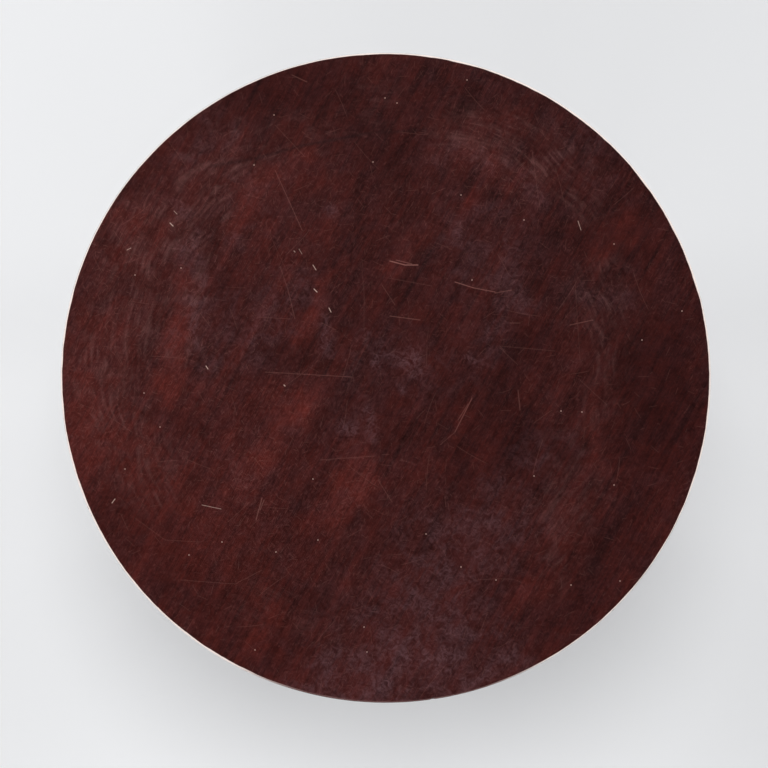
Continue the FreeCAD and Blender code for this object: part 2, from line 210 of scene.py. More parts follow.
def noise(place, scale, detail=2.0, roughness=0.5, distortion=0.0):
    return add("ShaderNodeTexNoise", {"Vector": place, "Scale": scale, "Detail": detail,
                                      "Roughness": roughness, "Distortion": distortion})


def tint(share, under, over, blend="MIX"):
    """Lays one colour over another, by a share from 0 to 1."""
    return add("ShaderNodeMix", {0: share, 6: under, 7: over}, 2, data_type="RGBA", blend_type=blend)


# %% Groups of nodes, and colours
place_input = ("Place", "Vector", (0, 0, 0))


def new_group(name, inputs, output, kind="Float"):
    """A named node group: its tree, its inputs as wires by name, and the socket of its output."""
    tree = bpy.data.node_groups.new(name, "ShaderNodeTree")
    for label, input_kind, value in inputs:
        socket = tree.interface.new_socket(label, in_out="INPUT", socket_type="NodeSocket" + input_kind)
        socket.default_value = value
    tree.interface.new_socket(output, in_out="OUTPUT", socket_type="NodeSocket" + kind)
    given = {socket.name: Wire(socket) for socket in tree.nodes.new("NodeGroupInput").outputs}
    return tree, given, tree.nodes.new("NodeGroupOutput").inputs[output]


def use(group, **inputs):
    """Places a node group and gives its output. An underscore in a name stands for a space."""
    named = {name.replace("_", " "): value for name, value in inputs.items()}
    return add("ShaderNodeGroup", named, node_tree=group)


def colour(red, green, blue):
    """A colour given as it looks on screen, from 0 to 255, turned into light."""
    def light(level):
        share = level / 255
        return share / 12.92 if share <= 0.04045 else ((share + 0.055) / 1.055) ** 2.4
    return (light(red), light(green), light(blue), 1.0)


print("red-brown as light", [round(level, 4) for level in colour(62, 30, 30)])

# %% [markdown]
# ## Streaks
# The lacquer was brushed on along the boards and rubbed down the same way, and the grain shows
# through it. Noise that is squeezed across the grain and stretched along it gives such lines. The
# place is turned first, so that X runs along the grain.

# %% Group: streaks along the grain
streaks, given, out = new_group("streaks", [
    place_input, ("Grain Angle", "Float", 0.0), ("Length", "Float", 0.1), ("Width", "Float", 0.01),
    ("Detail", "Float", 3.0), ("Seed", "Float", 0.0)], "Value")
place = spun(given["Place"], given["Grain Angle"] * -1.0)
place = place / joined(given["Length"], given["Width"], given["Width"]) + given["Seed"]
feed(out, noise(place, 1.0, given["Detail"], 0.55))

# %% [markdown]
# ## Round the table
# On the rim, the rails and the floor ring the grain runs round the table's axis. This group unrolls
# a place: X becomes the length round the table, Y the distance from the axis and Z stays the height.
# The unrolled strip has one seam, and it is put where two pieces meet.

# %% Group: unroll a place round the table
unrolled, given, out = new_group("unrolled", [place_input, ("Seam Angle", "Float", 0.0)], "Place", "Vector")
x, y, z = split(spun(given["Place"], given["Seam Angle"] * -1.0 + math.pi))
radius = joined(x, y).worked("LENGTH")
feed(out, joined(y.worked("ARCTAN2", x) * radius, radius, z))

# %% [markdown]
# ## Marks with a start and an end
# A scratch is a thin line from one place to another. Its mask needs the distance from a point to a
# straight stretch. One group works that out on the flat and fades it away from the stretch, so the
# width says how thick the scratch is. It uses `scaled`, not a plain product: Cycles would make a
# vector of the number only after all other nodes, and the values of every mark would wait for it.

# %% Group: a mark along a straight stretch
mark, given, out = new_group("mark", [
    place_input, ("Start", "Vector", (0, 0, 0)), ("Reach", "Vector", (0.01, 0, 0)),
    ("Reach Inverted", "Vector", (100, 0, 0)), ("Width", "Float", 0.001), ("Strength", "Float", 1.0)],
    "Mask")
away = given["Place"] - given["Start"]
share = clamped(away.worked("DOT_PRODUCT", given["Reach Inverted"]))
far = away.worked("DISTANCE", given["Reach"].scaled(share))
feed(out, fade(far, 0.0, given["Width"], given["Strength"], 0.0))

# %% [markdown]
# ## Chance marks
# Besides the marks that can be counted there are hundreds of small ones. A Voronoi texture cuts the
# surface into cells and gives each cell a random colour. One number of that colour turns a short
# line inside the cell, another says whether the cell has one at all, and the last sets its size.
# Widths and lengths are shares of a cell.

# %% Groups: short scratches and specks at random
chance_inputs = [place_input, ("Cell", "Float", 0.02), ("Width", "Float", 0.02), ("Share", "Float", 0.5),
                 ("Seed", "Float", 0.0)]


def cells_of(given, depth):
    """Cuts the surface into cells: the place seen from its cell's middle, and three random numbers."""
    place = given["Place"] * (1, 1, depth) / given["Cell"] + joined(given["Seed"], given["Seed"])
    luck = add("ShaderNodeTexVoronoi", {"Vector": place, "Scale": 1.0}, "Color")
    red = add("ShaderNodeSeparateColor", {"Color": luck})
    return place - luck.beside("Position"), red, red.beside("Green"), red.beside("Blue")


length_input = ("Length", "Float", 0.4)
short_scratches, given, out = new_group("short_scratches", [*chance_inputs, length_input], "Mask")
own, turn, choice, size = cells_of(given, 0)
x, y, _ = split(spun(own, turn * math.tau))
across = (y + x * x * 0.12).worked("ABSOLUTE")
half = given["Length"] * size
inside = fade(x.worked("ABSOLUTE"), half * 0.7, half, 1.0, 0.0)
line = fade(across, 0.0, given["Width"], 1.0, 0.0)
feed(out, line * inside * choice.worked("LESS_THAN", given["Share"]))

specks, given, out = new_group("specks", chance_inputs, "Mask")
own, _, choice, size = cells_of(given, 1)
reach = given["Width"] * size
dot = fade(own.worked("LENGTH"), reach * 0.4, reach, 1.0, 0.0)
feed(out, dot * choice.worked("LESS_THAN", given["Share"]))

# %% [markdown]
# ## Rubbed edges
# Lacquer wears first where hands and cloths pass: on the sharp edges. A round edge, such as the rim's, is a
# circle, so the wear there is a matter of distance from that circle; on the top's rim the same line also
# carries a painted highlight. The noise makes the worn line swell and thin out, as real rubbing does.

# %% Group: the rubbed edge of a round piece
rubbed_round_edge, given, out = new_group("rubbed_round_edge", [
    place_input, ("Radius", "Float", 0.3), ("Height", "Float", 0.5), ("Width", "Float", 0.002),
    ("Unevenness", "Float", 0.5)], "Mask")
radius = (given["Place"] * (1, 1, 0)).worked("LENGTH")
above = split(given["Place"])[2] - given["Height"]
far = joined(radius - given["Radius"], above).worked("LENGTH")
uneven = swing(noise(given["Place"], 45.0, 4.0), 5.0) * given["Unevenness"] + 1.0
width = given["Width"] * strongest_of(uneven, 0.05)
feed(out, fade(far, width * 0.55, width, 1.0, 0.0))
print("node groups", sorted(group.name for group in bpy.data.node_groups))

# %% [markdown]
# ## The top's marks, one by one
# The large patches of tone, wear and painted sheen and the long scratches are what makes this top this one,
# so they were read off the picture. A row says where a mark starts and where it ends, across and down, then
# how wide it is and how strong. All but the strength are in pixels of the picture, and `from_picture` turns
# them into places on the table. Islands are painted highlights, the small bright spots in the haze, swirls
# are where a polishing cloth left its arcs.

# %% Patches of the top
red_patches_px = [
    (472, 150, 500, 166, 26, 0.5), (90, 330, 80, 470, 46, 0.4), (178, 285, 182, 400, 20, 0.75),
    (110, 450, 200, 545, 62, 0.5), (232, 205, 305, 160, 30, 0.55), (235, 490, 310, 380, 17, 0.7),
    (300, 335, 338, 262, 13, 0.6), (402, 268, 462, 203, 17, 0.5), (322, 525, 370, 475, 28, 0.8),
    (255, 640, 262, 610, 36, 0.65), (600, 256, 640, 225, 28, 0.85), (562, 545, 572, 530, 26, 0.6),
    (528, 592, 536, 584, 20, 0.45), (435, 470, 480, 395, 13, 0.45), (392, 75, 380, 85, 34, 0.35),
    (592, 420, 604, 470, 15, 0.4), (470, 120, 520, 128, 22, 0.35), (130, 215, 150, 240, 40, 0.3),
    (395, 590, 405, 585, 20, 0.35)]
# Haze patches: dulled lacquer with a painted sheen.
haze_patches_px = [
    (350, 378, 372, 366, 40, 0.18), (396, 352, 434, 366, 54, 0.22), (345, 430, 362, 422, 40, 0.15),
    (196, 240, 200, 300, 13, 0.45), (192, 306, 197, 342, 12, 0.5), (188, 260, 182, 330, 26, 0.3),
    (393, 645, 430, 640, 100, 0.64), (320, 682, 500, 678, 60, 0.66), (493, 258, 480, 240, 66, 0.42),
    (545, 455, 552, 448, 40, 0.35), (500, 520, 440, 560, 76, 0.5), (440, 150, 500, 160, 18, 0.4),
    (530, 168, 540, 205, 14, 0.3), (240, 200, 268, 186, 36, 0.2), (565, 130, 600, 160, 42, 0.2),
    (250, 345, 300, 290, 40, 0.3), (590, 290, 630, 300, 30, 0.25), (236, 130, 200, 160, 28, 0.35),
    (480, 350, 520, 300, 34, 0.35), (220, 300, 214, 370, 22, 0.3)]
# Painted highlights: small bright spots in the bloom.
islands_px = [
    (376, 367, 380, 361, 14, 0.9), (394, 358, 412, 354, 13, 0.8), (414, 355, 418, 372, 16, 0.8),
    (403, 386, 404, 389, 10, 0.8), (471, 356, 476, 361, 13, 0.7), (321, 318, 326, 350, 14, 0.65),
    (365, 412, 374, 436, 13, 0.65), (338, 426, 354, 432, 13, 0.65), (326, 209, 328, 211, 9, 0.8),
    (232, 232, 236, 240, 11, 0.55), (194, 306, 197, 342, 12, 0.65), (248, 338, 252, 342, 11, 0.6),
    (366, 335, 368, 345, 11, 0.5), (178, 205, 184, 214, 12, 0.55)]
swirl_patches_px = [
    (199, 243, 192, 345, 20, 1.0), (150, 480, 112, 380, 60, 0.75), (112, 380, 150, 250, 64, 0.95),
    (150, 250, 235, 160, 60, 1.0), (235, 160, 370, 105, 44, 0.35), (455, 120, 560, 165, 46, 0.95),
    (560, 165, 592, 205, 36, 0.7), (600, 280, 608, 400, 44, 0.7), (575, 440, 560, 560, 44, 0.6),
    (235, 590, 330, 625, 40, 0.35)]
dark_patches_px = [
    (410, 565, 450, 555, 46, 0.35), (545, 455, 550, 450, 34, 0.4), (218, 285, 226, 310, 22, 0.7),
    (645, 372, 655, 440, 62, 0.75), (440, 480, 545, 325, 26, 0.5), (385, 140, 400, 165, 36, 0.5),
    (270, 352, 300, 345, 20, 0.55), (470, 480, 520, 440, 40, 0.4), (250, 85, 330, 66, 40, 0.45),
    (150, 580, 160, 590, 26, 0.5), (250, 590, 330, 600, 14, 0.55), (300, 300, 345, 240, 22, 0.45),
    (470, 600, 540, 560, 22, 0.3), (665, 330, 690, 420, 34, 0.55), (120, 500, 260, 650, 90, 0.62),
    (290, 100, 340, 105, 66, 0.65), (140, 180, 230, 100, 50, 0.4), (385, 330, 470, 420, 110, 0.38),
    (340, 400, 370, 440, 50, 0.25), (545, 455, 552, 448, 50, 0.75), (400, 90, 440, 110, 50, 0.35),
    (610, 245, 640, 235, 44, 0.6), (393, 645, 430, 640, 100, 0.25), (560, 620, 640, 520, 40, 0.4),
    (265, 440, 330, 350, 9, 0.5)]
light_patches_px = [
    (120, 270, 95, 380, 130, 0.35), (200, 200, 280, 250, 80, 0.25), (462, 142, 520, 172, 50, 0.95),
    (240, 478, 300, 400, 24, 0.85), (219, 458, 279, 384, 16, 0.5), (340, 510, 372, 478, 20, 0.6),
    (280, 445, 313, 371, 14, 0.5), (182, 225, 200, 345, 20, 0.6)]
print(len(red_patches_px) + len(haze_patches_px) + len(dark_patches_px), "red, hazy and dark patches")

# %% Scratches, nicks and specks of the top
dark_arc_px = [
    (212, 166, 258, 158, 3, 0.5), (258, 158, 300, 146, 3, 0.55), (300, 146, 370, 133, 3, 0.65),
    (370, 133, 425, 130, 3, 0.5)]
scratches_px = [
    (390, 261, 405, 265, 0.9, 0.8), (405, 265, 418, 265, 0.9, 0.75), (396, 260, 412, 264, 0.6, 0.5),
    (455, 282, 474, 288, 0.8, 0.55), (474, 288, 495, 292, 0.8, 0.45), (495, 293, 512, 290, 0.8, 0.28),
    (382, 285, 395, 305, 0.7, 0.2), (388, 278, 432, 286, 0.6, 0.14), (390, 316, 420, 320, 0.8, 0.33),
    (275, 170, 302, 230, 0.7, 0.28), (292, 75, 307, 82, 0.8, 0.28), (275, 125, 304, 156, 0.6, 0.17),
    (280, 266, 288, 290, 0.6, 0.22), (288, 290, 295, 319, 0.6, 0.26), (510, 323, 520, 323, 0.7, 0.24),
    (570, 325, 593, 320, 0.8, 0.28), (500, 346, 555, 351, 0.6, 0.14), (500, 348, 518, 365, 0.6, 0.14),
    (265, 372, 352, 377, 0.7, 0.24), (472, 398, 455, 432, 0.8, 0.33), (468, 404, 458, 420, 0.8, 0.24),
    (455, 432, 440, 445, 0.7, 0.17), (518, 390, 520, 410, 0.8, 0.24), (580, 380, 607, 405, 0.6, 0.12),
    (262, 498, 256, 520, 0.8, 0.38), (264, 500, 260, 510, 0.8, 0.33), (250, 502, 228, 522, 0.6, 0.14),
    (135, 518, 165, 540, 0.6, 0.14), (165, 540, 200, 542, 0.6, 0.14), (180, 580, 235, 584, 0.6, 0.16),
    (235, 584, 262, 570, 0.6, 0.16), (320, 460, 375, 456, 0.7, 0.18), (378, 480, 392, 502, 0.7, 0.18),
    (532, 150, 540, 210, 0.6, 0.14), (575, 280, 580, 360, 0.6, 0.11), (362, 270, 365, 305, 0.5, 0.11),
    (257, 317, 291, 319, 0.6, 0.16), (226, 287, 246, 288, 0.5, 0.13), (200, 313, 210, 326, 0.6, 0.2),
    (322, 323, 336, 330, 0.6, 0.2), (364, 285, 364, 330, 0.5, 0.13), (270, 235, 300, 300, 0.5, 0.11),
    (345, 395, 365, 345, 0.5, 0.1)]
nicks_px = [
    (299, 249, 302, 254, 0.6, 0.25), (313, 265, 316, 270, 0.68, 0.45), (314, 289, 317, 292, 0.75, 0.6),
    (329, 308, 331, 312, 0.68, 0.55), (206, 366, 208, 369, 0.68, 0.6), (170, 223, 173, 226, 0.75, 0.6),
    (112, 503, 115, 499, 0.68, 0.5), (284, 385, 285, 386, 0.85, 0.55), (127, 250, 131, 248, 0.6, 0.4),
    (202, 505, 221, 509, 0.6, 0.3), (578, 221, 581, 230, 0.6, 0.36), (174, 211, 177, 214, 0.6, 0.35),
    (294, 251, 295, 252, 0.8, 0.35)]
specks_px = [
    (254, 165), (373, 162), (274, 115), (467, 80), (385, 98), (397, 103), (461, 195), (524, 220),
    (614, 244), (472, 280), (642, 340), (125, 469), (255, 650), (364, 627), (367, 652), (496, 580),
    (461, 567), (571, 585), (620, 581), (534, 476), (582, 412), (561, 411), (614, 485), (318, 540),
    (189, 555), (426, 534), (313, 479), (181, 268), (144, 393), (160, 427), (682, 311), (135, 275),
    (276, 552), (222, 542)]
print(len(scratches_px), "scratches,", len(nicks_px), "nicks,", len(specks_px), "specks")

# %% [markdown]
# ## Broad marks on the mesh, thin marks in the shader
# A broad soft patch doesn't need to be worked out at every pixel. The patches are stored as numbers
# on the points of the top's mesh, some 3 mm apart, and the shader only reads them. A scratch is far
# thinner than that, so the scratches and specks are laid by the shader itself. Each is compared
# with the strongest so far as soon as it is made, because Cycles works through the nodes in the
# order in which they were added, and a piece turns black if too many values wait at a time.

# %% Lay the marks
def marked_on(spots, marks_px):
    """How much of the patches in a list lies over each spot of a mesh, from 0 to 1."""
    clear = np.ones(len(spots))
    for *ends_px, width, strength in marks_px:
        start = np.array(from_picture(ends_px[:2]).xy)
        reach = np.array(from_picture(ends_px[2:]).xy) - start
        away = spots - start
        share = np.clip(away @ reach / (reach @ reach), 0, 1)
        far = np.linalg.norm(away - share[:, None] * reach, axis=1) / (width * px)
        near = np.clip(1 - far, 0, 1)
        clear *= 1 - strength * near * near * (3 - 2 * near)
    return 1 - clear


def store(mesh, name, values):
    """Keeps one number for each point of a mesh."""
    mesh.attributes.new(name, "FLOAT", "POINT").data.foreach_set("value", values.astype(np.float32))


def stored(place, name):
    """The number that the mesh keeps under this name."""
    return add("ShaderNodeAttribute", {}, "Fac", place.tree, attribute_name=name)


def laid(flat, marks_px):
    """The strongest of all the scratches in a list, at each flat place of a shader."""
    strongest = None
    for *ends_px, width, strength in marks_px:
        start = from_picture(ends_px[:2])
        reach = from_picture(ends_px[2:]) - start
        mask = use(mark, Place=flat, Start=start, Reach=reach, Width=width * px, Strength=strength,
                   Reach_Inverted=reach / reach.length_squared)
        strongest = strongest_of(strongest, mask) if strongest else mask
    return strongest


def dots_at(flat, spots_px, width):
    """Round specks: 1 in the middle of each spot."""
    nearest = flat.worked("DISTANCE", from_picture(spots_px[0]))
    for spot_px in spots_px[1:]:
        nearest = nearest.worked("MINIMUM", flat.worked("DISTANCE", from_picture(spot_px)))
    return fade(nearest, 0.0, width, 1.0, 0.0)


# %% [markdown]
# ## The ground of the top's lacquer
# From the ground up: a deep brown and a redder brown, mixed by broad patches and by streaks along the
# boards, with violet clouds over both. The textures are made first, because the layers above share them.
# `pale` says where the whole surface is lighter: partly patches of paler, worn lacquer, partly a painted
# sheen that brightens the top towards the left.

# %% Colours of the lacquer
grain_angle = math.radians(61)
deep_brown = colour(43, 12, 11)
violet_brown = colour(48, 22, 24)
warm_red = colour(80, 28, 23)
dark_brown = colour(34, 12, 12)
# The bloom colour is partly painted sheen.
bloom_and_sheen = colour(97, 68, 73)
rubbed_pale = colour(124, 84, 80)
scratch_pale = colour(156, 106, 98)
speck_pale = colour(232, 196, 182)
# The rim line's colours: pale ground with a painted highlight, and a darker brown of painted shade for its
# bottom.
bare_ground_and_highlight = colour(246, 230, 223)
painted_shade_ground = colour(104, 76, 74)


# %% Textures that the layers share
def new_finish(name):
    """A new material, with the inputs of its shader and the place on the piece."""
    material = bpy.data.materials.new(name)
    material.use_nodes = True
    place = add("ShaderNodeTexCoord", {}, "Object", material.node_tree)
    return material, material.node_tree.nodes["Principled BSDF"].inputs, place


def along_grain(place, length, width, detail=3.0, seed=0.0):
    """Streaks along the boards."""
    return use(streaks, Place=place, Grain_Angle=grain_angle, Length=length, Width=width,
               Detail=detail, Seed=seed)


top_lacquer, shader, place = new_finish("top_lacquer")
flat = place * (1, 1, 0)
fine = along_grain(place, 7 * mm, 0.8 * mm, detail=2.0)
middle = along_grain(place, 75 * mm, 2.8 * mm, seed=3.0)
coarse = along_grain(place, 90 * mm, 11 * mm, seed=7.0)
mottle = noise(place, 30.0, 5.0, 0.65, 0.5)
wisps = noise(place, 170.0, 5.0, 0.7, 1.5)
grains = fade(wisps, 0.36, 0.68)
clouds = fade(noise(place, 48.0, 5.0, 0.6, 0.6), 0.38, 0.64)
# The stored lightness is partly painted sheen: it rises towards the left of the top.
light = stored(place, "light")
pale = light * 1.7 - 0.90

# %% The ground
red = stored(place, "red") + swing(middle, 0.35) + swing(coarse, 0.7) + swing(mottle, 0.6)
lacquer = tint(clamped(red), deep_brown, warm_red)
lacquer = tint(clouds * 0.28, lacquer, violet_brown)
lacquer = tint(laid(flat, dark_arc_px), lacquer, dark_brown)
depth = (swing(fine, 0.6) + swing(middle, 0.75) + swing(coarse, 0.55) + swing(mottle, 0.35)
         + swing(wisps, 1.4) + 0.96)
lacquer = tint(1.0, lacquer, depth * (light * 0.5 + 0.5), "MULTIPLY")
print("the ground takes", len(place.tree.nodes), "nodes")

# %% [markdown]
# ## Bloom with painted sheen, arcs and veil
# Cloths have dulled the gloss. A bluish bloom lies in clouds and in a ring: partly dulled lacquer, partly a
# painted sheen in its colour, and the few brighter islands in it are painted highlights. Arcs show where a
# cloth went round. Over that lies a thin veil along the grain. The arcs are streaks on an unrolled place,
# which a slow noise moves about a little, because no hand draws true circles.

# %% Bloom with painted sheen, arcs and veil
# Painted sheen and highlights: the bloom colour and the brighter islands stand for light scattered off the
# dulled lacquer.
haze_and_sheen = (stored(place, "haze_and_sheen") * 0.62 + pale * 0.06) * (grains * 0.9 + 0.15) * (clouds * 0.8 + 0.3)
haze_and_sheen = strongest_of(haze_and_sheen, stored(place, "highlight_islands") * (grains * 0.60 + 0.04))
waver = noise(place, 11.0, 2.0).beside("Color") - (0.5, 0.5, 0.5)
round_top = use(unrolled, Place=place + waver.scaled(35 * mm), Seam_Angle=math.radians(-80))
arcs = use(streaks, Place=round_top, Length=50 * mm, Width=3.6 * mm, Detail=3.0, Seed=2.0)
arcs = fade(arcs, 0.38, 0.74) * stored(place, "swirl") * (clouds * 0.26 + 0.06)
veil = fade(fine, 0.38, 0.75) * (grains * 0.17 + 0.03) * pale
lacquer = tint(haze_and_sheen, lacquer, bloom_and_sheen)
lacquer = tint(arcs + veil, lacquer, rubbed_pale)

# %% [markdown]
# ## Scratches, specks and the rim line, rubbed and with painted highlight
# Last come the sharp marks: the scratches of the list and three sizes of chance ones, then specks and
# nicks. Along the rim runs a pale line: partly the pale ground where the lacquer is rubbed through, partly
# a painted highlight, widest at the upper right and lower left, and with painted shade at the bottom, where
# it is darker and browner. The gloss follows the same masks, because a dulled place is also a rougher one.

# %% Scratches and specks
short = use(short_scratches, Place=place, Cell=17 * mm, Width=0.028, Share=0.55, Length=0.42)
longer = use(short_scratches, Place=place, Cell=50 * mm, Width=0.009, Share=0.6, Length=0.45, Seed=9.0)
hairs = use(short_scratches, Place=place, Cell=7 * mm, Width=0.07, Share=0.6, Length=0.5, Seed=4.0)
lines = strongest_of(laid(flat, scratches_px) * 0.75, short * 0.10, longer * 0.13, hairs * 0.13 * pale)
lacquer = tint(lines, lacquer, scratch_pale)
chance = use(specks, Place=place, Cell=30 * mm, Width=0.035, Share=0.25)
dots = strongest_of(dots_at(flat, specks_px, 0.85 * mm), chance) * 0.65
lacquer = tint(strongest_of(dots, laid(flat, nicks_px)), lacquer, speck_pale)

# %% The rim line, rubbed and with painted highlight and shade, and the gloss
arris_inset, arris_drop = 0.6 * mm, 0.5 * mm
widest_line_angle = math.radians(42)


def lay_on(shader, coat, roughness, height, depth):
    """Gives a shader its colour, its roughness and a relief. A height of 1 stands depth metres high."""
    feed(shader["Base Color"], coat)
    feed(shader["Roughness"], roughness)
    feed(shader["Normal"], add("ShaderNodeBump", {"Strength": 1.0, "Distance": depth, "Height": height}))


# Painted highlight and shade on the rim line: near white and widest at the upper right and lower left,
# darker and browner at the bottom.
way = flat.worked("NORMALIZE")
lean = way.worked("DOT_PRODUCT", (math.cos(widest_line_angle), math.sin(widest_line_angle), 0))
wide = fade(lean.worked("ABSOLUTE"), 0.2, 0.98, 0.75, 1.35) * (1.05 * mm)
shaded_bottom = fade(way.worked("DOT_PRODUCT", (0.02, -1, 0)), 0.86, 0.97)
rim_wear_and_highlight = use(rubbed_round_edge, Place=place, Radius=top_radius - arris_inset,
          Height=top_height - arris_drop, Width=wide, Unevenness=0.35)
rough = haze_and_sheen * 0.25 + swing(fine, 0.16) + swing(mottle, 0.12) + lines * 0.3 + rim_wear_and_highlight * 0.35 + 0.33
ground = tint(shaded_bottom, bare_ground_and_highlight, painted_shade_ground)
lay_on(shader, tint(rim_wear_and_highlight, lacquer, ground), rough, fine + middle, 0.03 * mm)
shader["Specular IOR Level"].default_value = 0.2
print("top lacquer has", len(place.tree.nodes), "nodes")

# %% [markdown]
# ## The lacquer on the rest
# The base has the same lacquer with fewer marks. On upright pieces the grain stands on end, on the
# rails it runs round the table. `rubbed_of` gives a mask of worn edges, and `sunk_of` one of the
# hollows, where the dark stays and dust gathers.

# %% Lacquer for the base
worn_red = colour(100, 46, 36)
worn_ground = colour(166, 116, 96)
streak_length = 60 * mm


def make_base_lacquer(name, place_of, rubbed_of, sunk_of=None):
    material, shader, place = new_finish(name)
    along = place_of(place)
    fine = use(streaks, Place=along, Length=streak_length / 4, Width=0.9 * mm, Detail=2.0)
    coarse = use(streaks, Place=along, Length=streak_length, Width=8 * mm, Seed=5.0)
    mottle = noise(place, 30.0, 4.0, 0.6)
    lacquer = tint(clamped(swing(coarse, 1.3) + swing(mottle, 0.9) + 0.34), deep_brown, warm_red)
    lacquer = tint(1.0, lacquer, swing(fine, 0.8) + swing(mottle, 0.4) + 1.0, "MULTIPLY")
    # The bluish clouds are partly dulled lacquer and partly painted sheen.
    clouds = fade(noise(place, 60.0, 5.0, 0.65), 0.45, 0.75, 0.0, 0.16)
    lacquer = tint(clouds, lacquer, bloom_and_sheen)
    lines = use(short_scratches, Place=along, Cell=20 * mm, Width=0.03, Share=0.35, Length=0.4)
    lacquer = tint(lines * 0.2, lacquer, scratch_pale)
    lacquer = tint(use(specks, Place=place, Cell=30 * mm, Width=0.03, Share=0.2), lacquer, speck_pale)
    if sunk_of:
        lacquer = tint(sunk_of(place), lacquer, dark_brown)
    rubbed = rubbed_of(place)
    warm = tint(fade(rubbed, 0.45, 1.0), worn_red, worn_ground)
    rough = swing(mottle, 0.2) + swing(fine, 0.12) + rubbed * 0.2 + 0.33
    lay_on(shader, tint(fade(rubbed, 0.0, 0.6), lacquer, warm), rough,
           swing(fine, 0.6) + swing(coarse, 0.8), 0.06 * mm)
    shader["Specular IOR Level"].default_value = 0.4
    return material


# %% Where each kind of piece has its grain and its wear
def upright(place):
    """Turns the place so that its X runs up the leg."""
    x, y, z = split(place)
    return joined(z, x, y)


def round_table(seam_angle):
    return lambda place: use(unrolled, Place=place, Seam_Angle=math.radians(seam_angle))


def worn_by_mesh(place):
    """The wear that was measured on the mesh, broken up a little."""
    broken = swing(noise(place, 90.0, 4.0), 0.9)
    return fade(stored(place, "edge") + broken, 0.50, 1.15)


def sunk_by_mesh(place):
    return fade(stored(place, "hollow"), 0.15, 0.8, 0.0, 0.85)


def worn_all_over(place):
    return fade(noise(place, 60.0, 4.0), 0.45, 0.8, 0.0, 0.8)


def worn_rings(*rings):
    """Worn circles, each given by its radius, height, width and strength."""
    return lambda place: strongest_of(*[
        use(rubbed_round_edge, Place=place, Radius=radius, Height=height, Width=width,
            Unevenness=0.9) * strength for radius, height, width, strength in rings])


# %% Materials of the base
def reach_of(name):
    """How far a solid reaches from the table's axis."""
    return max(vertex.co.xy.length for vertex in nodes[name].data.vertices)


ring_box, bead_box, lining_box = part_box("floor_ring_1"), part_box("bead_1"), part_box("rim_lining_1")
ring_outer, bead_outer = reach_of("floor_ring_1"), reach_of("bead_1")
edge_inset = 0.8 * mm
leg_lacquer = make_base_lacquer("leg_lacquer", upright, worn_by_mesh, sunk_by_mesh)
apron_lacquer = make_base_lacquer("apron_lacquer", round_table(90), worn_by_mesh, sunk_by_mesh)
bead_lacquer = make_base_lacquer("arch_bead_lacquer", round_table(90), worn_all_over)
rail_lacquer = make_base_lacquer("rail_lacquer", round_table(90), worn_rings(
    (bead_outer, (bead_box[0].z + bead_box[1].z) / 2, 1.5 * mm, 0.5)))
rim_lacquer = make_base_lacquer("rim_lacquer", round_table(126), worn_rings(
    (top_radius - arris_inset, top_height - arris_drop, 1.3 * mm, 1.0),
    (top_radius - edge_inset, lining_box[0].z + edge_inset, 1.3 * mm, 0.7)))
ring_lacquer = make_base_lacquer("ring_lacquer", round_table(126), worn_rings(
    (ring_outer - edge_inset, ring_box[1].z - edge_inset, 2.4 * mm, 0.65),
    (ring_outer - edge_inset, ring_box[0].z + edge_inset, 1.6 * mm, 0.5)))
print("floor ring reaches", round(ring_outer, 4), "bead", round(bead_outer, 4))

# %% [markdown]
# ## Underside, bamboo and floor
# Nobody sees the underside, so it got one thin dark coat, and the brush marks stand. The pins are bare
# bamboo, with the dark dots of its fibres on the cut ends. The floor is plain and pale, with painted light
# on it: a little lighter on the left, as if lit from there, and lighter towards the front, where it lifts
# the table's shadow, as in the picture.

# %% Underside
underside_lacquer, shader, place = new_finish("underside_lacquer")
brushed = along_grain(place, 90 * mm, 1.6 * mm, detail=4.0)
uneven = fade(brushed + swing(noise(place, 18.0, 4.0), 0.5), 0.3, 0.75)
coat = tint(uneven, colour(30, 20, 19), colour(62, 42, 36))
dust = use(specks, Place=place, Cell=12 * mm, Width=0.05, Share=0.3)
coat = tint(dust * 0.5, coat, colour(128, 110, 98))
lay_on(shader, coat, fade(brushed, 0.2, 0.8, 0.5, 0.75), brushed, 0.25 * mm)

# %% Bamboo
bamboo, shader, place = new_finish("bamboo")
fibres = use(specks, Place=place, Cell=0.9 * mm, Width=0.5, Share=0.8)
tone = noise(place, 300.0, 3.0)
cane = tint(tone, colour(150, 112, 74), colour(188, 150, 104))
cane = tint(fibres, cane, colour(96, 66, 42))
lay_on(shader, cane, fade(tone, 0.3, 0.7, 0.5, 0.7), fibres, 0.05 * mm)

# %% Floor
floor_finish, shader, place = new_finish("pale_floor")
x, y, _ = split(place)
# Painted light: the floor is lighter to the left, and lighter in front of the table, where it lifts the
# table's shadow.
across = fade(x, -0.6, 0.6)
far_half = tint(across, colour(236, 237, 239), colour(226, 227, 229))
lightened_front_half = tint(across, colour(244, 245, 247), colour(235, 236, 238))
feed(shader["Base Color"], tint(fade(y, -0.05, 0.08, 1.0, 0.0), far_half, lightened_front_half))
shader["Roughness"].default_value = 0.9
shader["Specular IOR Level"].default_value = 0.1
print("materials", sorted(material.name for material in bpy.data.materials))

# %% [markdown]
# ## Dressing the solid pieces
# Most rails and pads are right as they are and only need their finish. A table of name beginnings
# and materials does it in one loop, and the print shows that no piece was left out.

# %% Give each solid piece its finish
finishes = {"top_board": top_lacquer, "rim_lining": rim_lacquer, "waist": rail_lacquer,
            "bead": rail_lacquer, "apron_pegs": bamboo, "apron": apron_lacquer, "leg": leg_lacquer,
            "floor_ring": ring_lacquer, "foot_pad": ring_lacquer, "batten": underside_lacquer,
            "board_dowels": bamboo, "rim_pins": bamboo}


def dress(piece, *materials):
    piece.data.materials.clear()
    for material in materials:
        piece.data.materials.append(material)


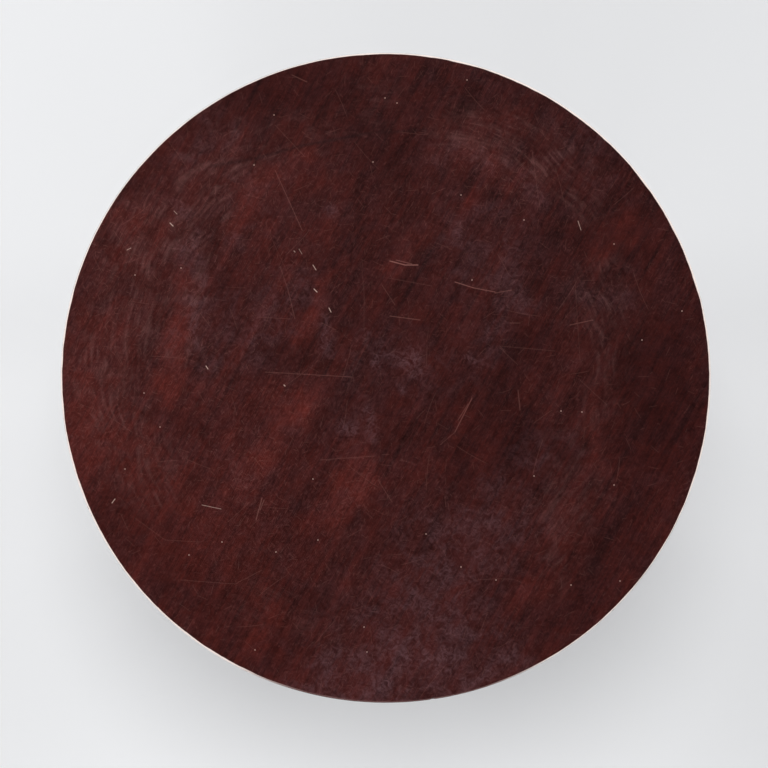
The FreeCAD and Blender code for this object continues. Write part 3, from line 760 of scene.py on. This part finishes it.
for name, piece in nodes.items():
    begins = max((key for key in finishes if name.startswith(key)), key=len)
    dress(piece, finishes[begins])
print("dressed", len(nodes), "solid pieces")

# %% [markdown]
# ## The top, with a worn rim
# The solid top has the right size, but a real rim isn't that even: the corner between face and edge
# is rubbed rounder in places and has small chips. So the disc is turned again as rings of points,
# finely enough to press the chips into it, and is then sawn into the same three boards, with a small
# V along each seam of the underside. Sawing with `bisect_plane` keeps the rings in place.

# %% The rings of the disc
board_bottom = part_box("top_board_middle")[0].z
rim_steps = 1440
corner_steps = 7
corner_radius = 2.0 * mm
ring_gap = 3.5 * mm


def steps_at(radius):
    """Points round a ring of the face: halved again and again towards the middle."""
    steps = rim_steps
    while steps % 2 == 0 and math.tau * radius / steps < ring_gap / 2:
        steps //= 2
    return steps


# Radius, height and points of each ring, from the middle of the face to the middle below
profile = [(radius, top_height, steps_at(radius))
           for radius in np.arange(ring_gap, top_radius - corner_radius - ring_gap / 2, ring_gap)]
for step in range(corner_steps + 1):
    turn = math.pi / 2 * (1 - step / corner_steps)
    profile.append((top_radius - corner_radius * (1 - math.cos(turn)),
                    top_height - corner_radius * (1 - math.sin(turn)), rim_steps))
profile.append((top_radius, top_height - 3 * corner_radius, rim_steps))
profile += [(share * top_radius, board_bottom, rim_steps) for share in (1, 0.93, 0.6, 0.12)]
print(len(profile), "rings, the outer ones with", rim_steps, "points")

# %% Turn the disc and press in the chips
chips_px = [
    ((432, 698), 3.2, 0.9), ((420, 700), 1.6, 0.5), ((611, 608), 1.8, 0.5),
    ((91, 507), 2.0, 0.5), ((180, 130), 1.6, 0.4), ((668, 228), 1.8, 0.4)]


def pressed(spot):
    """How deep the chips go at a place on the rim, in metres."""
    depth = 0.0
    for place_px, width_mm, depth_mm in chips_px:
        chip = from_picture(place_px).normalized() * top_radius + Vector((0, 0, top_height))
        far = (spot - chip).length / (width_mm * mm)
        depth = max(depth, depth_mm * mm * max(0.0, 1 - far * far))
    return depth


def ring_of_points(radius, height, steps):
    """One ring. At the upper corner its points are pressed in wherever a chip is."""
    at_corner = radius > top_radius - 1.2 * corner_radius and height > board_bottom + corner_radius
    ring = []
    for step in range(steps):
        turn = math.tau * step / steps
        spot = Vector((radius * math.cos(turn), radius * math.sin(turn), height))
        if at_corner:
            inward = Vector((-spot.x, -spot.y, -0.6 * top_radius)).normalized()
            spot += inward * pressed(spot)
        ring.append(disc.verts.new(spot))
    return ring


disc = bmesh.new()
rings = [ring_of_points(*ring) for ring in profile]
for ring, after in zip(rings, rings[1:]):
    ratio = len(after) // len(ring)  # the next ring may have two points for each one here
    for step in range(len(ring)):
        arc = [after[(step * ratio + extra) % len(after)] for extra in range(ratio + 1)]
        disc.faces.new([ring[(step + 1) % len(ring)], ring[step]] + arc)
disc.faces.new(rings[0])
disc.faces.new(rings[-1][::-1])
bmesh.ops.recalc_face_normals(disc, faces=disc.faces)
print("disc", len(disc.verts), "points,", len(disc.faces), "faces")

# %% Saw the disc into three boards
seam_offset = top_radius / 3
groove_width = 0.6 * mm
across_grain = Vector((-math.sin(grain_angle), math.cos(grain_angle), 0))
crisp_angle = math.radians(32)


def saw(board, point, normal):
    """Cuts away what lies beyond a plane and closes the cut."""
    parts = board.verts[:] + board.edges[:] + board.faces[:]
    cut = bmesh.ops.bisect_plane(board, geom=parts, plane_co=point, plane_no=normal, clear_outer=True)
    edges = [part for part in cut["geom_cut"] if isinstance(part, bmesh.types.BMEdge)]
    bmesh.ops.edgeloop_fill(board, edges=edges)


def sawn_board(low, high):
    """The strip of the disc between two offsets across the grain. None means the rim."""
    board = disc.copy()
    for offset, way in ((low, -1), (high, 1)):
        if offset is None:
            continue
        seam = across_grain * offset
        saw(board, seam, across_grain * way)
        bevel = (across_grain * way - Vector((0, 0, 1))).normalized()
        saw(board, seam + Vector((0, 0, board_bottom + groove_width)), bevel)
    return board


def finish_mesh(name, made):
    """Turns a bmesh into a mesh with smooth faces and crisp corners."""
    mesh = bpy.data.meshes.new(name)
    made.to_mesh(mesh)
    made.free()
    mesh.shade_smooth()
    mesh.set_sharp_from_angle(angle=crisp_angle)
    return mesh


def new_piece(name, mesh, slot, *replaced):
    """A new piece of the table: it takes the place of the solids that are named."""
    piece = put(name, mesh)
    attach(piece, "root")
    if replaced:
        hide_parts(*replaced)
    return piece


# %% [markdown]
# ## The patches on the boards
# Read off the picture, a patch is a plain blurred stroke. A slow noise carries its points about like
# smoke, so that no patch keeps that outline. The noise gets a fixed seed, because it would otherwise
# take one from the clock and put every patch somewhere else each time.

# %% Lay the boards and store the patches
drift_seed = 137
drift_scale = 14
drift_layers = 4
drift_reach = 15 * mm
mathutils.noise.seed_set(drift_seed)


def drifted(spots):
    """The same spots moved about like smoke."""
    drift = [mathutils.noise.turbulence_vector(Vector((x, y, 0)) * drift_scale, drift_layers, False,
                                               amplitude_scale=0.7).xy for x, y in spots]
    return spots + np.array(drift) * drift_reach


def store_patches(mesh):
    """Puts the broad marks of the top on the points of a board."""
    spots = np.array([vertex.co.xy for vertex in mesh.vertices])
    cloudy = drifted(spots)

    def towards(x, y):
        return np.clip((cloudy @ np.array((x, y)) / top_radius + 1) / 2, 0, 1)

    # Beside its patches, the stored lightness holds a painted sheen that rises towards the left of the top.
    values = {"red": 0.10 + 0.26 * towards(-0.87, -0.5) + 0.7 * marked_on(cloudy, red_patches_px),
              "light": ((0.86 + 0.30 * towards(-1, 0) + 0.30 * marked_on(cloudy, light_patches_px))
                        * (1 - 0.4 * marked_on(cloudy, dark_patches_px))),
              "haze_and_sheen": marked_on(cloudy, haze_patches_px),
              "highlight_islands": marked_on((spots + cloudy) / 2, islands_px),
              "swirl": marked_on(cloudy, swirl_patches_px)}
    for name, value in values.items():
        store(mesh, name, value)


for name, low, high in (("right", None, -seam_offset), ("middle", -seam_offset, seam_offset),
                        ("left", seam_offset, None)):
    board = new_piece("lacquered_board_" + name, finish_mesh("board_" + name, sawn_board(low, high)),
                      "top_lacquer", "top_board_" + name)
    dress(board, top_lacquer, rim_lacquer, underside_lacquer)
    store_patches(board.data)
    for face in board.data.polygons:
        below_corner = face.center.z < top_height - 0.9 * corner_radius
        face.material_index = 2 if face.normal.z < -0.5 else int(below_corner)
    print(board.name, len(board.data.polygons), "faces")
disc.free()

# %% [markdown]
# ## Legs and aprons with softened edges
# The solid legs have crisp corners, but hand-scraped wood has none. A voxel remesh wraps a copy in
# small even squares, and a few rounds of smoothing then ease every corner by about a millimetre and
# leave the flats flat. The even squares also make it easy to measure how sharp each place is, and
# the lacquer reads that to wear its edges and darken its hollows.

# %% Soften a solid
soft_square = 1.5 * mm


def softened(name, square, rounds):
    """A copy of a solid with eased corners, as a mesh of small squares."""
    copy = put("soft", nodes[name].data.copy())
    wrap = copy.modifiers.new("wrap", "REMESH")
    wrap.mode = "VOXEL"
    wrap.voxel_size = square
    ease = copy.modifiers.new("ease", "SMOOTH")
    ease.factor = 0.5
    ease.iterations = rounds
    seen = copy.evaluated_get(bpy.context.evaluated_depsgraph_get())
    mesh = bpy.data.meshes.new_from_object(seen)
    bpy.data.objects.remove(copy)
    mesh.shade_smooth()
    return mesh


# %% Measure the corners and hollows
full_bulge = 0.10


def neighbour_mean(values, ends, count):
    """For each point, the mean of a value over the points that share an edge with it."""
    added = np.zeros_like(values)
    np.add.at(added, ends[:, 0], values[ends[:, 1]])
    np.add.at(added, ends[:, 1], values[ends[:, 0]])
    return added / count.reshape((-1,) + (1,) * (values.ndim - 1))


def mark_corners(mesh, square):
    """Stores how far each point stands out of its surroundings (edge) or lies in a hollow (hollow)."""
    spots = np.empty((len(mesh.vertices), 3), np.float32)
    mesh.vertices.foreach_get("co", spots.ravel())
    out = np.empty_like(spots)
    mesh.vertices.foreach_get("normal", out.ravel())
    ends = np.empty((len(mesh.edges), 2), np.int32)
    mesh.edges.foreach_get("vertices", ends.ravel())
    count = np.maximum(np.bincount(ends.ravel(), minlength=len(spots)), 1)
    bulge = ((spots - neighbour_mean(spots, ends, count)) * out).sum(1) / square
    for _ in range(3):
        bulge = (bulge + neighbour_mean(bulge, ends, count)) / 2
    for name, way in (("edge", 1), ("hollow", -1)):
        store(mesh, name, np.clip(way * bulge / full_bulge, 0, 1))
    return float(bulge.max())


for number in legs:
    for name, finish in ((f"leg_{number}", leg_lacquer), (f"apron_{number}", apron_lacquer)):
        mesh = softened(name, soft_square, rounds=4)
        sharpest = mark_corners(mesh, soft_square)
        piece = new_piece("carved_" + name, mesh, "base_lacquer", name)
        dress(piece, finish)
    print("leg and apron", number, len(mesh.polygons), "squares on the apron, sharpest", round(sharpest, 3))

# %% [markdown]
# ## A bead along each arch
# A raised bead follows the edge of each opening: up one leg, along the arched apron and down the next
# leg. Its route isn't drawn by hand. Rays find the edge on the solids: sideways rays meet a leg's
# side, upward rays meet the apron's lower edge. The route then moves a little into the wood, and a
# thin round bar is laid along it, half sunk in the surface.

# %% Find the edge of an opening
shoulder_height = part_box("apron_1")[0].z
ring_top = ring_box[1].z
pitch = math.tau / len(legs)
outside = top_radius * 1.1
sideways = 100 * mm
bead_low, bead_high = ring_top + 42 * mm, shoulder_height - 22 * mm
bead_inset = 2.6 * mm
leg_rays, apron_rays = 60, 150


def at(angle, radius, height, aside=0.0):
    """A place by its direction from the axis, its radius and its height, and a step to the left."""
    out = Vector((math.cos(angle), math.sin(angle), 0))
    return out * radius + Vector((-out.y, out.x, 0)) * aside + Vector((0, 0, height))


def leg_direction(number):
    return math.pi / 2 + (number - 1) * pitch


def surface_of(*names):
    """The solids' surface, made ready for rays."""
    spots, faces = [], []
    for name in names:
        first = len(spots)
        spots += [vertex.co.copy() for vertex in nodes[name].data.vertices]
        faces += [[first + index for index in face.vertices] for face in nodes[name].data.polygons]
    return BVHTree.FromPolygons(spots, faces)


def on_front(surface, angle, height, aside=0.0):
    """Where a ray from outside, level and towards the axis, meets the front of the wood."""
    return surface.ray_cast(at(angle, outside, height, aside), at(angle, -1, 0))[0]


def leg_edge(surface, leg_angle, side):
    """Points up the edge between a leg's front and its side."""
    edge = []
    for height in np.linspace(bead_low, bead_high, leg_rays):
        front = on_front(surface, leg_angle, height).xy.length
        start = at(leg_angle, front - 3 * mm, height, side * sideways)
        met = surface.ray_cast(start, at(leg_angle, 0, 0, -side))[0]
        if met is not None:
            half_width = sideways - (met - start).length - 0.2 * mm
            edge.append(on_front(surface, leg_angle, height, side * half_width))
    return edge


def apron_edge(surface, first, last, radius):
    """Points along the lower edge of an apron, between two directions."""
    edge = []
    for angle in np.linspace(first, last, apron_rays)[1:-1]:
        met = surface.ray_cast(at(angle, radius, shoulder_height - 50 * mm), Vector((0, 0, 1)))[0]
        if met is not None:
            edge.append(at(angle, radius, met.z))
    return edge


# %% The whole route of a bead
def smooth_line(points, step, rounds):
    """The same line with its points a fixed step apart and its small corners smoothed."""
    points = np.array([list(point) for point in points])
    run = np.concatenate([[0], np.cumsum(np.linalg.norm(np.diff(points, axis=0), axis=1))])
    places = np.linspace(0, run[-1], int(run[-1] / step))
    points = np.stack([np.interp(places, run, points[:, axis]) for axis in range(3)], 1)
    for _ in range(rounds):
        points[1:-1] = (points[:-2] + 2 * points[1:-1] + points[2:]) / 4
    return points


def opening_edge(number):
    """The whole edge of the opening between a leg and the next one, moved into the wood."""
    after = number % len(legs) + 1
    surface = surface_of(f"leg_{number}", f"leg_{after}", f"apron_{number}")
    left, right = leg_direction(number), leg_direction(number) + pitch
    up = leg_edge(surface, left, 1)
    down = leg_edge(surface, right, -1)[::-1]
    radius = on_front(surface, (left + right) / 2, shoulder_height + 40 * mm).xy.length - 4 * mm
    first = math.atan2(up[-1].y, up[-1].x)
    last = first + (math.atan2(down[0].y, down[0].x) - first) % math.tau
    whole = up + apron_edge(surface, first, last, radius) + down
    line = smooth_line(whole, step=1.5 * mm, rounds=4)
    route = []
    for spot, way in zip(line, np.gradient(line, axis=0)):
        out = Vector((spot[0], spot[1], 0)).normalized()
        moved = Vector(spot) + out.cross(Vector(way)).normalized() * bead_inset
        met = on_front(surface, math.atan2(moved.y, moved.x), moved.z)
        if met is not None:
            route.append(met)
    return smooth_line(route, step=2.0 * mm, rounds=3)


# %% Lay a thin bar along a route
taper_points = 8


def lay_bar(name, routes, thickness):
    """A new piece of round bars along routes, thin at both ends."""
    curve = bpy.data.curves.new(name, "CURVE")
    curve.dimensions = "3D"
    curve.bevel_depth = thickness / 2
    curve.bevel_resolution = 2
    curve.use_fill_caps = True
    for route in routes:
        spline = curve.splines.new("POLY")
        spline.points.add(len(route) - 1)
        for index, spot in enumerate(route):
            spline.points[index].co = (*spot, 1)
            from_end = min(index, len(route) - 1 - index)
            spline.points[index].radius = min(1.0, 0.25 + from_end / taper_points)
    bar = bpy.data.objects.new(name, curve)
    mesh = bpy.data.meshes.new_from_object(bar)
    bpy.data.objects.remove(bar)
    mesh.shade_smooth()
    piece = new_piece(name, mesh, "base_lacquer")
    dress(piece, bead_lacquer)
    return piece


for number in legs:
    route = opening_edge(number)
    bead = lay_bar(f"arch_bead_{number}", [route], thickness=3.6 * mm)
    print(bead.name, "runs over", len(route), "points")

# %% [markdown]
# ## Scrolls on the toes
# Each foot curls outwards into a scroll. The solid toe is a round roll, and a raised spiral on each
# of its two cheeks shows how it curls. The spiral is the same bar again, on a route whose radius
# shrinks as it turns.

# %% Carve the scrolls
toe_centre_radius = ring_outer - 13 * mm
toe_height = ring_top + 14 * mm
toe_half_width = 19 * mm
scroll_turns = 1.6
scroll_steps = 70
scroll_start = math.radians(165)
scroll_outer, scroll_inner = 12.0 * mm, 2.6 * mm


def scroll_route(leg_angle, side):
    """A spiral on one cheek of a toe, which winds outwards, down and in."""
    route = []
    for share in np.linspace(0, 1, scroll_steps):
        turn = scroll_start - share * scroll_turns * math.tau
        radius = scroll_outer + (scroll_inner - scroll_outer) * share
        route.append(at(leg_angle, toe_centre_radius + radius * math.cos(turn),
                        toe_height + radius * math.sin(turn), side * toe_half_width))
    return route


for number in legs:
    routes = [scroll_route(leg_direction(number), side) for side in (-1, 1)]
    scroll = lay_bar(f"toe_scroll_{number}", routes, thickness=2.6 * mm)
print("scrolls", [round(size, 4) for size in scroll.dimensions])

# %% [markdown]
# ## Floor and light
# The floor is one large pale plane. Three kinds of light stand in for a studio: a large soft one
# nearly overhead, which drops the soft shadow just below the disc in the picture; two soft ones from
# the sides, which shape the legs; and a weak one from the front. The sky gives the rest, brighter
# near the horizon than overhead, so that the top mirrors little of it.

# %% Floor
half_side = 40.0
mesh = bpy.data.meshes.new("floor")
corners = [(x * half_side, y * half_side, 0) for x, y in ((-1, -1), (1, -1), (1, 1), (-1, 1))]
mesh.from_pydata(corners, [], [(0, 1, 2, 3)])
floor = put("floor", mesh)
dress(floor, floor_finish)


# %% Lamps
def hang_lamp(name, direction, tilt, size, strength, mirrored=True):
    """A far soft lamp: direction on the floor and tilt from overhead, both in degrees."""
    lamp = bpy.data.lights.new(name, "SUN")
    lamp.angle = math.radians(size)
    lamp.energy = strength
    hung = put(name, lamp)
    hung.rotation_euler = (0, math.radians(tilt), math.radians(direction))
    hung.visible_glossy = mirrored


hang_lamp("overhead_box", 92, 15, 24, 1.25, mirrored=False)
hang_lamp("left_box", 152, 55, 30, 0.95)
hang_lamp("right_box", 30, 55, 30, 0.75)
hang_lamp("front_box", -100, 62, 30, 0.55)
print("lamps", len(bpy.data.lights))

# %% Sky
horizon, zenith = 0.78, 0.10
world = bpy.data.worlds.new("studio")
bpy.context.scene.world = world
world.use_nodes = True
up = split(add("ShaderNodeTexCoord", {}, "Generated", world.node_tree))[2]
feed(world.node_tree.nodes["Background"].inputs["Color"], fade(up, 0.0, 0.9, horizon, zenith))

# %% [markdown]
# ## The last lines
# The picture is shown as it is, with no film look.

# %% Show the picture as it is
bpy.context.scene.view_settings.view_transform = "Standard"
